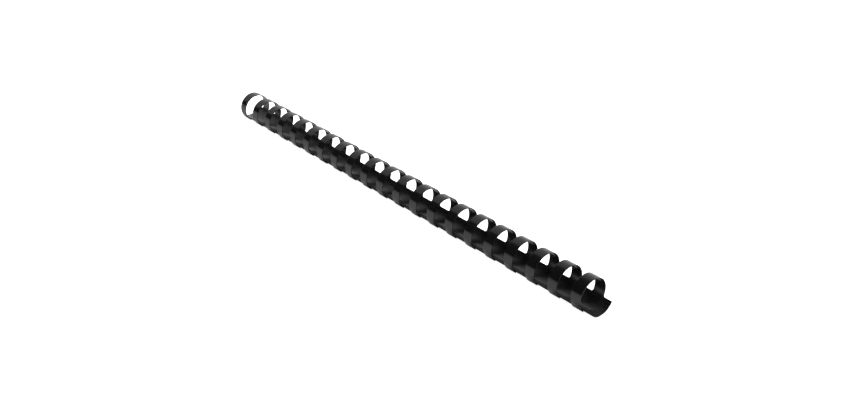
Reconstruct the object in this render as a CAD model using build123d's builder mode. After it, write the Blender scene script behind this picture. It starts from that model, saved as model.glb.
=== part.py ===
"""Plastic binding comb: a curled trough of sheet with a row of springy fingers.

Frame, in mm: +X along the spine, +Y towards the edge that the fingers grow from,
+Z up. The origin is on the resting surface, under the middle of the comb.
Section angles are in degrees from straight up (0) towards +Y (90), about the ring axis.
Each finger flexes at its root and over its shoulder; it is parted there, on radial
planes, into an arch and a tip that turn about the outer line of the parting.
"""
import os
from math import cos, radians, sin, sqrt

from build123d import *

# Row of fingers
FINGER_COUNT = 21
PITCH = 14.2875  # 9/16 inch, the spacing of comb punching
SPINE_LENGTH = 302.4

# Sheet and ring
WALL = 0.40
RING_RADIUS = 8.95  # outside of the closed fingers
LAP_GAP = 0.15  # between a finger and the front edge of the spine that it laps over
REST_WIDTH = 2.0  # flat along the bottom of the spine, where it rests

# Section angles
EDGE_ANGLE = 117.3  # back edge of the spine
STUB_ANGLE = 110.0  # end of the short stubs that the fingers grow from
SPLIT_ANGLE = -30.0  # front shoulder, where arch and tip meet
TIP_ANGLE = -151.0  # end of a finger, outside the front of the spine
TROUGH_SWEEP = 105.0  # turn of the spine from its back edge to its front edge

# Finger widths along X
ROOT_WIDTH = 6.4
SPLIT_WIDTH = 5.9
TIP_WIDTH = 5.4

# Corners of the blank
ROOT_FILLET = 1.0
TIP_CORNER = 2.2
FRONT_CORNER = 1.5

# The trough curls in from the ring's circle, to pass one wall inside the fingers at its
# front edge. It stays tangent to the ring at the back edge.
CURL_IN = (WALL + LAP_GAP) / (1 - cos(radians(TROUGH_SWEEP)))
TROUGH_RADIUS = RING_RADIUS - CURL_IN
TROUGH_Y = CURL_IN * sin(radians(EDGE_ANGLE))
TROUGH_DROP = -CURL_IN * cos(radians(EDGE_ANGLE))

REST_DEPTH = TROUGH_RADIUS - sqrt(TROUGH_RADIUS**2 - (REST_WIDTH / 2) ** 2)
AXIS_HEIGHT = TROUGH_RADIUS + TROUGH_DROP - REST_DEPTH  # the ring axis, with the flat at Z 0
CUT_REACH = 2 * RING_RADIUS


def radial_plane(angle):
    """Plane on the ring axis that faces outwards at a section angle, with local X along X."""
    outward = (0, sin(radians(angle)), cos(radians(angle)))
    return Plane(origin=(0, 0, AXIS_HEIGHT), x_dir=(1, 0, 0), z_dir=outward)


def finger_x(number):
    """Centre of a finger along the spine, numbered from the -X end."""
    return (number - (FINGER_COUNT + 1) / 2) * PITCH


def arc_start(angle):
    """Section angle as an arc angle in the YZ plane, where 0 is +Y and 90 is +Z."""
    return 90 - angle


def section_plane(offset):
    """Section through the comb, with its origin on the ring axis."""
    return Plane(origin=(offset, 0, AXIS_HEIGHT), x_dir=(0, 1, 0), z_dir=(1, 0, 0))


def make_segment(number, first_angle, last_angle, first_width, last_width, corner=0):
    """One curled stretch of a finger, tapered along its length."""
    centre = finger_x(number)
    middle = (first_angle + last_angle) / 2
    half_chord = RING_RADIUS * sin(radians(first_angle - last_angle) / 2)
    with BuildPart() as segment:
        with BuildSketch(section_plane(centre)):
            with BuildLine():
                sweep = first_angle - last_angle
                outer = CenterArc((0, 0), RING_RADIUS, arc_start(first_angle), sweep)
                inner = CenterArc((0, 0), RING_RADIUS - WALL, arc_start(first_angle), sweep)
                Line(outer @ 0, inner @ 0)
                Line(outer @ 1, inner @ 1)
            make_face()
        extrude(amount=first_width / 2, both=True)
        with BuildSketch(radial_plane(middle)):
            with BuildLine():
                Polyline(
                    (centre - first_width / 2, half_chord),
                    (centre + first_width / 2, half_chord),
                    (centre + last_width / 2, -half_chord),
                    (centre - last_width / 2, -half_chord),
                    close=True,
                )
            make_face()
        extrude(amount=CUT_REACH, both=True, mode=Mode.INTERSECT)
        if corner:
            end_edges = segment.edges().filter_by(lambda edge: edge.length < 1.1 * WALL)
            fillet(end_edges.sort_by(Axis.Z)[:2], radius=corner)
    return segment.part


os.makedirs("parts", exist_ok=True)

# Spine: the trough, with a short filleted stub under each finger
with BuildPart() as spine:
    with BuildSketch(section_plane(-SPINE_LENGTH / 2)):
        with BuildLine():
            stub_sweep = STUB_ANGLE - EDGE_ANGLE
            trough_centre = (TROUGH_Y, -TROUGH_DROP)
            stub_outer = CenterArc((0, 0), RING_RADIUS, arc_start(STUB_ANGLE), stub_sweep)
            trough_outer = CenterArc(trough_centre, TROUGH_RADIUS, arc_start(EDGE_ANGLE), -TROUGH_SWEEP)
            stub_inner = CenterArc((0, 0), RING_RADIUS - WALL, arc_start(STUB_ANGLE), stub_sweep)
            trough_inner = CenterArc(
                trough_centre, TROUGH_RADIUS - WALL, arc_start(EDGE_ANGLE), -TROUGH_SWEEP
            )
            Line(stub_outer @ 0, stub_inner @ 0)
            Line(trough_outer @ 1, trough_inner @ 1)
        make_face()
    extrude(amount=SPINE_LENGTH)
    lip_ends = spine.edges().filter_by(lambda edge: edge.length < 1.1 * WALL).sort_by(Axis.Y)[:2]
    fillet(lip_ends, radius=FRONT_CORNER)

    # Gaps between the stubs, open past both ends of the row
    notch_plane = radial_plane((STUB_ANGLE + EDGE_ANGLE) / 2)
    notch_foot = RING_RADIUS * sin(radians(EDGE_ANGLE - STUB_ANGLE) / 2)
    notch_height = 6 * ROOT_FILLET
    notch_y = notch_foot - notch_height / 2
    end_width = SPINE_LENGTH - (FINGER_COUNT - 1) * PITCH - ROOT_WIDTH
    gaps = [((finger_x(number) + finger_x(number + 1)) / 2, notch_y) for number in range(1, FINGER_COUNT)]
    ends = [(side * SPINE_LENGTH / 2, notch_y) for side in (-1, 1)]
    with BuildSketch(notch_plane):
        with Locations(*gaps):
            RectangleRounded(PITCH - ROOT_WIDTH, notch_height, ROOT_FILLET)
        with Locations(*ends):
            RectangleRounded(end_width, notch_height, ROOT_FILLET)
    extrude(amount=CUT_REACH, mode=Mode.SUBTRACT)

    # The flat that it rests on
    split(bisect_by=Plane.XY)
spine.part.label = "spine"
export_step(spine.part, "parts/spine.step")

# Fingers: an arch from root to shoulder, and a tip from shoulder to rounded end
for number in range(1, FINGER_COUNT + 1):
    arch = make_segment(number, STUB_ANGLE, SPLIT_ANGLE, ROOT_WIDTH, SPLIT_WIDTH)
    arch.label = f"finger_{number:02d}_arch"
    export_step(arch, f"parts/{arch.label}.step")
    tip = make_segment(number, SPLIT_ANGLE, TIP_ANGLE, SPLIT_WIDTH, TIP_WIDTH, TIP_CORNER)
    tip.label = f"finger_{number:02d}_tip"
    export_step(tip, f"parts/{tip.label}.step")
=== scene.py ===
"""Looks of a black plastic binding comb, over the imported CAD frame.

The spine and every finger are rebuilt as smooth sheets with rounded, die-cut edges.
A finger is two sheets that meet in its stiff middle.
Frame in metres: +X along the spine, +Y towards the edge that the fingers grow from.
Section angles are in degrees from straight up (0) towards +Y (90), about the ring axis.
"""
from math import cos, degrees, radians, sin, sqrt

import bmesh
import bpy
from mathutils import Matrix, Vector


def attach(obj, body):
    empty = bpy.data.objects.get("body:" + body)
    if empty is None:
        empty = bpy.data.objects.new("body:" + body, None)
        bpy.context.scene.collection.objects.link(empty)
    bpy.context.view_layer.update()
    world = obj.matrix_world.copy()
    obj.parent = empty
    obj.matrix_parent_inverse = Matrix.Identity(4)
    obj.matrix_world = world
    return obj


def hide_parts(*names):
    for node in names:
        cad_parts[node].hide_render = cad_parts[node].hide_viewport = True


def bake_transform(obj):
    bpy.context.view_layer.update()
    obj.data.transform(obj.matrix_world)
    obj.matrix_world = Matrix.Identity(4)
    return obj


MM = 0.001
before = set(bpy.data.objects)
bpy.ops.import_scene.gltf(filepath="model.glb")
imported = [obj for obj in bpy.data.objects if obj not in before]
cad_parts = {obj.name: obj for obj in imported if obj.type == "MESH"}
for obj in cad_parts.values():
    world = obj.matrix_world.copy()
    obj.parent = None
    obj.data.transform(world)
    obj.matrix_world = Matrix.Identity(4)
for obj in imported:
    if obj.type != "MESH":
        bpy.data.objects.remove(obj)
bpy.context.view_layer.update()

# Sizes of the sheet, as in the CAD
FINGER_COUNT = 21
PITCH = 14.2875 * MM
SPINE_LENGTH = 302.4 * MM
WALL = 0.40 * MM
RING_RADIUS = 8.95 * MM
LAP_GAP = 0.15 * MM
REST_WIDTH = 2.0 * MM
EDGE_ANGLE = 117.3
STUB_ANGLE = 110.0
SPLIT_ANGLE = -30.0
TIP_ANGLE = -151.0
TROUGH_SWEEP = 105.0
ROOT_WIDTH = 6.4 * MM
SPLIT_WIDTH = 5.9 * MM
TIP_WIDTH = 5.4 * MM
ROOT_FILLET = 1.0 * MM
TIP_CORNER = 2.2 * MM
FRONT_CORNER = 1.5 * MM

# The trough curls in from the ring's circle, tangent to it at the back edge
CURL_IN = (WALL + LAP_GAP) / (1 - cos(radians(TROUGH_SWEEP)))
TROUGH_RADIUS = RING_RADIUS - CURL_IN
TROUGH_Y = CURL_IN * sin(radians(EDGE_ANGLE))
TROUGH_DROP = -CURL_IN * cos(radians(EDGE_ANGLE))
REST_DEPTH = TROUGH_RADIUS - sqrt(TROUGH_RADIUS**2 - (REST_WIDTH / 2) ** 2)
AXIS_HEIGHT = TROUGH_RADIUS + TROUGH_DROP - REST_DEPTH

# Detail of the meshes
EDGE_ROUND = 0.07 * MM
EDGE_SEGMENTS = 2
SEAM_ANGLE = 40.0  # where the two sheets of a finger meet
SEAM_MARGIN = 0.4  # degrees from a seam to the next row, so that shading runs on across it
FOOT_MARGIN = 0.5  # degrees from the spine's back edge to the next row
ROW_STEP = 3.0  # degrees between the rows of a sheet
COLUMN_SHARES = (-1.0, -0.92, -0.5, 0.0, 0.5, 0.92, 1.0)  # across a finger, of its half width
GAP_SHARES = (0.05, 0.5, 0.95)  # columns between two stubs, as shares of the gap
END_MARGINS = (0.0, 0.3 * MM, FRONT_CORNER)  # columns beside an end of the spine, from the end
CORNER_TURNS = (0, 15, 30, 45, 60, 75, 90)  # degrees round a rounded corner

# Section angles about a finger's root and over its front shoulder. make_finger_back reads them,
# but bends nothing about them.
ROOT_BEND = (STUB_ANGLE, 60.0)


def finger_x(number):
    """Centre of a finger along the spine, numbered from the -X end."""
    return (number - (FINGER_COUNT + 1) / 2) * PITCH


def ring_point(x, angle, depth=0.0):
    """Point of a finger, at a depth under its outer face."""
    radius = RING_RADIUS - depth
    y = radius * sin(radians(angle))
    z = AXIS_HEIGHT + radius * cos(radians(angle))
    return Vector((x, y, z))


def trough_point(x, angle, depth=0.0):
    """Point of the trough, at an angle about its own centre. It is flat where it rests."""
    radius = TROUGH_RADIUS - depth
    y = TROUGH_Y + radius * sin(radians(angle))
    z = AXIS_HEIGHT - TROUGH_DROP + radius * cos(radians(angle))
    return Vector((x, y, max(z, 0.0)))


def steps(first, last, step):
    """Evenly spaced values from first to last, about one step apart."""
    count = max(1, round(abs(last - first) / step))
    return [first + (last - first) * part / count for part in range(count + 1)]


# ------------------------------------------------------------------ sheets

OUTER, RIM, INNER = range(3)  # material slots of a sheet


def is_side(edge):
    """An edge between two rim faces, which runs through the thickness of the sheet."""
    return all(face.material_index == RIM for face in edge.link_faces)


class Sheet:
    """A thin sheet: two grids of points, closed with rims along their outline."""

    def __init__(self):
        self.bm = bmesh.new()
        self.outer = {}
        self.inner = {}
        self.seams = []

    def add_point(self, key, outer, inner):
        """A pair of points, one on each side of the sheet. Its key is its row and column."""
        self.outer[key] = self.bm.verts.new(outer)
        self.inner[key] = self.bm.verts.new(inner)

    def add_quads(self, row, next_row, keys, next_keys):
        """Faces between two rows of points, on both sides of the sheet."""
        for here in range(len(keys) - 1):
            corners = [
                (row, keys[here]),
                (row, keys[here + 1]),
                (next_row, next_keys[here + 1]),
                (next_row, next_keys[here]),
            ]
            outer_face = self.bm.faces.new([self.outer[corner] for corner in corners])
            outer_face.material_index = OUTER
            inner_face = self.bm.faces.new([self.inner[corner] for corner in reversed(corners)])
            inner_face.material_index = INNER

    def add_seam(self, keys):
        """The outline through these points is a flat cut that another sheet continues."""
        self.seams.append({self.outer[key] for key in keys})

    def close(self, name, materials):
        """Adds the rims, rounds their edges and returns the finished object."""
        partner = {self.outer[key]: self.inner[key] for key in self.outer}
        outline = [
            edge for edge in self.bm.edges if edge.is_boundary and edge.verts[0] in partner
        ]
        rims = []
        for edge in outline:
            loop = edge.link_loops[0]
            start, end = loop.vert, loop.link_loop_next.vert
            face = self.bm.faces.new((end, start, partner[start], partner[end]))
            face.material_index = RIM
            rims.append((face, any(start in seam and end in seam for seam in self.seams)))
        seam_edges = {edge for face, is_seam in rims if is_seam for edge in face.edges}
        sharp = {
            edge
            for face, is_seam in rims
            if not is_seam
            for edge in face.edges
            if edge not in seam_edges and not is_side(edge)
        }
        for edge in seam_edges:
            edge.smooth = False
        bmesh.ops.bevel(
            self.bm,
            geom=list(sharp),
            offset=EDGE_ROUND,
            offset_type="OFFSET",
            segments=EDGE_SEGMENTS,
            profile=0.5,
            affect="EDGES",
            clamp_overlap=True,
            material=RIM,
        )
        for face in self.bm.faces:
            face.smooth = True
        mesh = bpy.data.meshes.new(name)
        self.bm.to_mesh(mesh)
        self.bm.free()
        for material in materials:
            mesh.materials.append(material)
        piece = bpy.data.objects.new(name, mesh)
        bpy.context.scene.collection.objects.link(piece)
        shading = piece.modifiers.new("even_shading", "WEIGHTED_NORMAL")
        shading.keep_sharp = True
        return piece


def finger_width(angle):
    """Width of a finger at a section angle: it tapers from root to shoulder to tip."""
    if angle > SPLIT_ANGLE:
        share = (STUB_ANGLE - angle) / (STUB_ANGLE - SPLIT_ANGLE)
        return ROOT_WIDTH + share * (SPLIT_WIDTH - ROOT_WIDTH)
    share = (SPLIT_ANGLE - angle) / (SPLIT_ANGLE - TIP_ANGLE)
    return SPLIT_WIDTH + share * (TIP_WIDTH - SPLIT_WIDTH)


def make_strip(name, number, rows, seam_rows, materials):
    """A curled strip of one finger. rows are (section angle, half width), from root to tip."""
    strip = Sheet()
    columns = range(len(COLUMN_SHARES))
    for row, (angle, half_width) in enumerate(rows):
        for column in columns:
            x = finger_x(number) + COLUMN_SHARES[column] * half_width
            strip.add_point((row, column), ring_point(x, angle), ring_point(x, angle, WALL))
    for row in range(len(rows) - 1):
        strip.add_quads(row, row + 1, columns, columns)
    for row in seam_rows:
        strip.add_seam([(row, column) for column in columns])
    return strip.close(name, materials)


def make_finger_back(number, materials):
    """Root half of a finger, from its stub to the seam in its stiff middle."""
    angles = [STUB_ANGLE]
    angles += steps(STUB_ANGLE - SEAM_MARGIN, SEAM_ANGLE + SEAM_MARGIN, ROW_STEP)
    angles += [SEAM_ANGLE]
    rows = [(angle, finger_width(angle) / 2) for angle in angles]
    seam_rows = (0, len(rows) - 1)
    piece = make_strip(f"finger_{number:02d}_back_sheet", number, rows, seam_rows, materials)
    start, end = (ring_point(finger_x(number), angle) for angle in ROOT_BEND)
    start.y = end.y = 0
    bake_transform(piece)
    return piece


def make_finger_front(number, materials):
    """Free half of a finger, from the seam over the shoulder to the rounded end."""
    corner_sweep = degrees(TIP_CORNER / RING_RADIUS)
    corner_start = TIP_ANGLE + corner_sweep
    angles = [SEAM_ANGLE] + steps(SEAM_ANGLE - SEAM_MARGIN, corner_start, ROW_STEP)
    rows = [(angle, finger_width(angle) / 2) for angle in angles]
    for turn in CORNER_TURNS[1:]:
        angle = corner_start - corner_sweep * sin(radians(turn))
        inset = TIP_CORNER * (1 - cos(radians(turn)))
        rows.append((angle, finger_width(angle) / 2 - inset))
    piece = make_strip(f"finger_{number:02d}_front_sheet", number, rows, (0,), materials)
    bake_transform(piece)
    return piece


def make_spine(materials):
    """The trough with its rounded front corners, and the filleted stubs under the fingers."""
    spine = Sheet()
    foot_half = ROOT_WIDTH / 2 + ROOT_FILLET
    gap = PITCH - 2 * foot_half
    row_xs = []  # columns between the two ends, which have the same places in every row
    foot_columns = {}
    for number in range(1, FINGER_COUNT + 1):
        first = len(END_MARGINS) + len(row_xs)
        foot_columns[number] = range(first, first + len(COLUMN_SHARES))
        row_xs += [finger_x(number) + share * foot_half for share in COLUMN_SHARES]
        if number < FINGER_COUNT:
            row_xs += [finger_x(number) + foot_half + gap * share for share in GAP_SHARES]

    # Rows from the front edge to the back edge, each with its inset at the front corners
    lip_angle = EDGE_ANGLE + TROUGH_SWEEP
    corner_sweep = degrees(FRONT_CORNER / TROUGH_RADIUS)
    rows = []
    for turn in CORNER_TURNS:
        angle = lip_angle - corner_sweep * (1 - cos(radians(turn)))
        rows.append((angle, FRONT_CORNER * (1 - sin(radians(turn)))))
    wall_angles = steps(lip_angle - corner_sweep, EDGE_ANGLE + FOOT_MARGIN, ROW_STEP)
    rows += [(angle, 0) for angle in wall_angles[1:]]
    rows += [(EDGE_ANGLE, 0)]
    for row, (angle, inset) in enumerate(rows):
        squeeze = 1 - inset / (2 * FRONT_CORNER)
        end_xs = [SPINE_LENGTH / 2 - inset - margin * squeeze for margin in END_MARGINS]
        xs = [-x for x in end_xs] + row_xs + end_xs[::-1]
        for column, x in enumerate(xs):
            spine.add_point((row, column), trough_point(x, angle), trough_point(x, angle, WALL))
    columns = range(len(xs))
    for row in range(len(rows) - 1):
        spine.add_quads(row, row + 1, columns, columns)

    # Stubs: filleted at the foot, then as wide as the finger's root
    edge_row = len(rows) - 1
    stub_height = radians(EDGE_ANGLE - STUB_ANGLE) * RING_RADIUS
    stub_rows = []
    for turn in CORNER_TURNS[1:]:
        height = ROOT_FILLET * (1 - cos(radians(turn)))
        stub_rows.append((height, foot_half - ROOT_FILLET * sin(radians(turn))))
    stub_rows.append((stub_height, ROOT_WIDTH / 2))
    for number, stub_columns in foot_columns.items():
        below = edge_row
        for level, (height, half_width) in enumerate(stub_rows, start=1):
            angle = EDGE_ANGLE - degrees(height / RING_RADIUS)
            row = edge_row + level
            for column, share in zip(stub_columns, COLUMN_SHARES):
                x = finger_x(number) + share * half_width
                spine.add_point((row, column), ring_point(x, angle), ring_point(x, angle, WALL))
            spine.add_quads(below, row, stub_columns, stub_columns)
            below = row
        spine.add_seam([(below, column) for column in stub_columns])
    piece = spine.close("spine_sheet", materials)
    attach(piece, "spine")
    return piece


# ------------------------------------------------------------------ materials

PVC_IOR = 1.53
GRAIN_DEPTH = 0.01 * MM  # grain of the rolls, and of the die on the cut edges
LINES_SCALE = (18, 900, 900)  # rolling lines, drawn out along the spine
LINES_DEPTH = 0.02 * MM
LINES_STRENGTH = 0.25
CLOUDS_SCALE = 160
CLOUDS_RANGE = (0.3, 0.7)  # values of the clouds between which the roughness changes
PAPER_SCALE = 900
PAPER_GREYS = ((0.88, 0.88, 0.88), (0.92, 0.92, 0.92))


class Nodes:
    """Short calls to build the node tree of a material or a world."""

    def __init__(self, owner):
        owner.use_nodes = True
        self.tree = owner.node_tree
        self.tree.nodes.clear()
        self.place = self.add("ShaderNodeTexCoord").outputs["Object"]

    def add(self, kind, **settings):
        node = self.tree.nodes.new(kind)
        for key, value in settings.items():
            setattr(node, key, value)
        return node

    def link(self, output, node, socket):
        self.tree.links.new(output, node.inputs[socket])

    def stretched(self, scale):
        """Object coordinates with their own scale along X, Y and Z."""
        mapping = self.add("ShaderNodeMapping")
        mapping.inputs["Scale"].default_value = scale
        self.link(self.place, mapping, "Vector")
        return mapping.outputs["Vector"]

    def noise(self, place, scale, detail=2.0, roughness=0.5):
        node = self.add("ShaderNodeTexNoise")
        node.inputs["Scale"].default_value = scale
        node.inputs["Detail"].default_value = detail
        node.inputs["Roughness"].default_value = roughness
        self.link(place, node, "Vector")
        return node.outputs["Fac"]

    def ramp(self, value, low, high, first, last):
        """value, mapped from low..high to first..last, which are numbers."""
        node = self.add("ShaderNodeMapRange")
        self.link(value, node, "Value")
        limits = {"From Min": low, "From Max": high, "To Min": first, "To Max": last}
        for socket, number in limits.items():
            node.inputs[socket].default_value = number
        return node.outputs["Result"]

    def colours(self, value, first, last):
        """A colour between first and last, by value."""
        node = self.add("ShaderNodeMix", data_type="RGBA")
        self.link(value, node, "Factor")
        node.inputs["A"].default_value = (*first, 1)
        node.inputs["B"].default_value = (*last, 1)
        return node.outputs["Result"]

    def bump(self, height, distance, strength, normal=None):
        node = self.add("ShaderNodeBump")
        node.inputs["Distance"].default_value = distance
        node.inputs["Strength"].default_value = strength
        self.link(height, node, "Height")
        if normal:
            self.link(normal, node, "Normal")
        return node.outputs["Normal"]


def sheet_material(name, dark, light, roughness, grain_scale, grain_strength):
    """Calendered black PVC, with a fine grain, faint rolling lines and cloudy gloss."""
    material = bpy.data.materials.new(name)
    nodes = Nodes(material)
    grain = nodes.noise(nodes.place, grain_scale, detail=3.0, roughness=0.6)
    lines = nodes.noise(nodes.stretched(LINES_SCALE), 1.0, detail=3.0)
    clouds = nodes.noise(nodes.place, CLOUDS_SCALE, detail=4.0)
    shader = nodes.add("ShaderNodeBsdfPrincipled")
    nodes.link(nodes.colours(clouds, dark, light), shader, "Base Color")
    nodes.link(nodes.ramp(clouds, *CLOUDS_RANGE, *roughness), shader, "Roughness")
    shader.inputs["IOR"].default_value = PVC_IOR
    grained = nodes.bump(grain, GRAIN_DEPTH, grain_strength)
    nodes.link(nodes.bump(lines, LINES_DEPTH, LINES_STRENGTH, grained), shader, "Normal")
    output = nodes.add("ShaderNodeOutputMaterial")
    nodes.link(shader.outputs["BSDF"], output, "Surface")
    return material


def glossy_face():
    """Outer face of the sheet, polished by the rolls."""
    return sheet_material(
        "black_pvc_outer_face",
        dark=(0.0052, 0.0052, 0.0054),
        light=(0.0085, 0.0085, 0.0088),
        roughness=(0.10, 0.15),
        grain_scale=5200,
        grain_strength=0.3,
    )


def satin_face_with_painted_light():
    """Inner face of the sheet, which is duller than the outer one. Its base colour is painted
    light: about twice as light as the outer face's, it stands in for light that reaches the inside
    of the trough.
    """
    return sheet_material(
        # painted light: base colours lighter than the outer face's, so the inside of the trough
        # looks more lit
        "black_pvc_inner_face",
        dark=(0.0120, 0.0120, 0.0124),
        light=(0.0175, 0.0175, 0.0180),
        roughness=(0.22, 0.29),
        grain_scale=4200,
        grain_strength=0.4,
    )


def cut_edge():
    """Die-cut rim of the sheet: dull, with the drag marks of the die."""
    return sheet_material(
        "black_pvc_cut_edge",
        dark=(0.0024, 0.0024, 0.0024),
        light=(0.0060, 0.0060, 0.0060),
        roughness=(0.30, 0.40),
        grain_scale=2600,
        grain_strength=0.8,
    )


def pale_floor():
    """White paper. It is seen as evenly white, and the comb reflects it as it is lit."""
    material = bpy.data.materials.new("pale_floor")
    nodes = Nodes(material)
    fibres = nodes.noise(nodes.place, PAPER_SCALE, detail=3.0)
    diffuse = nodes.add("ShaderNodeBsdfDiffuse")
    nodes.link(nodes.colours(fibres, *PAPER_GREYS), diffuse, "Color")
    glow = nodes.add("ShaderNodeEmission")
    seen = nodes.add("ShaderNodeLightPath").outputs["Is Camera Ray"]
    nodes.link(nodes.ramp(seen, 0.0, 1.0, *FLOOR_GLOW), glow, "Strength")
    both = nodes.add("ShaderNodeAddShader")
    nodes.link(diffuse.outputs["BSDF"], both, 0)
    nodes.link(glow.outputs["Emission"], both, 1)
    output = nodes.add("ShaderNodeOutputMaterial")
    nodes.link(both.outputs["Shader"], output, "Surface")
    return material


# ------------------------------------------------------------------ studio

# Metres, unless a comment says otherwise
FLOOR_RADIUS = 4.0
FLOOR_SEGMENTS = 96
FLOOR_GLOW = (0.1, 1.0)  # as the comb reflects it, and as it is seen
BACKDROP_X = -0.7
BACKDROP_SPAN = (-0.31, 2.2)  # along Y
BACKDROP_TOP = 1.36
BACKDROP_CORNER = 0.72  # radius of its upper corner on the camera's side
BACKDROP_CORNER_STEP = 10  # degrees
BACKDROP_GLOW = (1.02, 0.58)  # low down, and higher up
BACKDROP_FADE_HEIGHT = (0.5, 0.3)  # scale of the fade: its growth along Y, and its size at Y 0
BACKDROP_FADE = (0.2, 1.5)  # heights between which the glow changes, in fade heights
ROOM_GLOW = (1.0, 0.06)  # up to the horizon, and above it
ROOM_FADE = (0.04, 0.055)  # where it fades, as a height on the unit sphere
KEY_PLACE = (0.25, 0.75, 0.95)
KEY_TARGET = (0.0, 0.0, 0.0)
KEY_SIZE = (0.8, 0.8)
KEY_POWER = 18.5  # watts
CAMERA_PLACE = Vector((0.35941, -0.29010, 0.24846))
CAMERA_HEADING = 138.4  # degrees from +X towards +Y
CAMERA_DOWN = 28.8  # degrees below the horizon
CAMERA_ROLL = 0.75  # degrees
CAMERA_LENS = 38.8  # mm
CAMERA_SENSOR = 36.0  # mm
CAMERA_CLIP = (0.01, 20.0)


def make_floor():
    """A round sheet of paper, far wider than the comb."""
    bm = bmesh.new()
    bmesh.ops.create_circle(bm, cap_ends=True, segments=FLOOR_SEGMENTS, radius=FLOOR_RADIUS)
    mesh = bpy.data.meshes.new("floor")
    bm.to_mesh(mesh)
    bm.free()
    mesh.materials.append(pale_floor())
    floor = bpy.data.objects.new("floor", mesh)
    bpy.context.scene.collection.objects.link(floor)


def make_key_light():
    """A large soft light above and behind the comb."""
    light = bpy.data.lights.new("key_softbox", "AREA")
    light.shape = "RECTANGLE"
    light.size, light.size_y = KEY_SIZE
    light.energy = KEY_POWER
    lamp = bpy.data.objects.new("key_softbox", light)
    lamp.location = KEY_PLACE
    lamp.visible_camera = False
    towards = Vector(KEY_TARGET) - Vector(KEY_PLACE)
    lamp.rotation_euler = towards.to_track_quat("-Z", "Y").to_euler()
    bpy.context.scene.collection.objects.link(lamp)


def glowing_board():
    """White board in a light that is strongest near the floor."""
    material = bpy.data.materials.new("backdrop")
    nodes = Nodes(material)
    spot = nodes.add("ShaderNodeSeparateXYZ")
    nodes.link(nodes.place, spot, "Vector")
    fade_height = nodes.add("ShaderNodeMath", operation="MULTIPLY_ADD")
    nodes.link(spot.outputs["Y"], fade_height, 0)
    fade_height.inputs[1].default_value, fade_height.inputs[2].default_value = BACKDROP_FADE_HEIGHT
    share = nodes.add("ShaderNodeMath", operation="DIVIDE")
    nodes.link(spot.outputs["Z"], share, 0)
    nodes.link(fade_height.outputs["Value"], share, 1)
    strength = nodes.ramp(share.outputs["Value"], *BACKDROP_FADE, *BACKDROP_GLOW)
    glow = nodes.add("ShaderNodeEmission")
    nodes.link(strength, glow, "Strength")
    output = nodes.add("ShaderNodeOutputMaterial")
    nodes.link(glow.outputs["Emission"], output, "Surface")
    return material


def make_backdrop():
    """Board beyond the far end of the comb. The comb reflects it, and no camera sees it."""
    near_end, far_end = BACKDROP_SPAN
    corners = [(near_end, 0.0), (far_end, 0.0), (far_end, BACKDROP_TOP)]
    for turn in steps(0, 90, BACKDROP_CORNER_STEP):
        y = near_end + BACKDROP_CORNER * (1 - sin(radians(turn)))
        corners.append((y, BACKDROP_TOP - BACKDROP_CORNER * (1 - cos(radians(turn)))))
    bm = bmesh.new()
    bm.faces.new([bm.verts.new((BACKDROP_X, y, z)) for y, z in corners])
    mesh = bpy.data.meshes.new("backdrop")
    bm.to_mesh(mesh)
    bm.free()
    mesh.materials.append(glowing_board())
    board = bpy.data.objects.new("backdrop", mesh)
    board.visible_camera = False
    bpy.context.scene.collection.objects.link(board)


def make_studio_air():
    """The room. The comb reflects it pale up to just above the horizon, and dark above that.
    It is seen as white as the floor, so that a low view has no horizon."""
    world = bpy.data.worlds.new("studio")
    nodes = Nodes(world)
    direction = nodes.add("ShaderNodeSeparateXYZ")
    nodes.link(nodes.add("ShaderNodeTexCoord").outputs["Generated"], direction, "Vector")
    reflected = nodes.ramp(direction.outputs["Z"], *ROOM_FADE, *ROOM_GLOW)
    glow = nodes.add("ShaderNodeMath", operation="MAXIMUM")
    nodes.link(reflected, glow, 0)
    nodes.link(nodes.add("ShaderNodeLightPath").outputs["Is Camera Ray"], glow, 1)
    background = nodes.add("ShaderNodeBackground")
    background.inputs["Color"].default_value = (1.0, 1.0, 1.0, 1)
    nodes.link(glow.outputs["Value"], background, "Strength")
    output = nodes.add("ShaderNodeOutputWorld")
    nodes.link(background.outputs["Background"], output, "Surface")
    bpy.context.scene.world = world


def make_camera():
    """The camera, placed by its heading, tilt and roll."""
    heading, down = radians(CAMERA_HEADING), radians(CAMERA_DOWN)
    forward = Vector((cos(down) * cos(heading), cos(down) * sin(heading), -sin(down)))
    level = forward.to_track_quat("-Z", "Y").to_matrix().to_4x4()
    camera = bpy.data.objects.new("camera", bpy.data.cameras.new("camera"))
    camera.data.lens = CAMERA_LENS
    camera.data.sensor_width = CAMERA_SENSOR
    camera.data.clip_start, camera.data.clip_end = CAMERA_CLIP
    roll = Matrix.Rotation(radians(CAMERA_ROLL), 4, "Z")
    camera.matrix_world = Matrix.Translation(CAMERA_PLACE) @ level @ roll
    bpy.context.scene.collection.objects.link(camera)
    bpy.context.scene.camera = camera


# ------------------------------------------------------------------ the comb

sheet_materials = (glossy_face(), cut_edge(), satin_face_with_painted_light())
spine_piece = make_spine(sheet_materials)
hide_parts("spine")
for finger in range(1, FINGER_COUNT + 1):
    back_piece = make_finger_back(finger, sheet_materials)
    front_piece = make_finger_front(finger, sheet_materials)
    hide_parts(f"finger_{finger:02d}_arch")
    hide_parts(f"finger_{finger:02d}_tip")

make_floor()
make_studio_air()
make_backdrop()
make_key_light()
make_camera()
bpy.context.scene.view_settings.view_transform = "Standard"
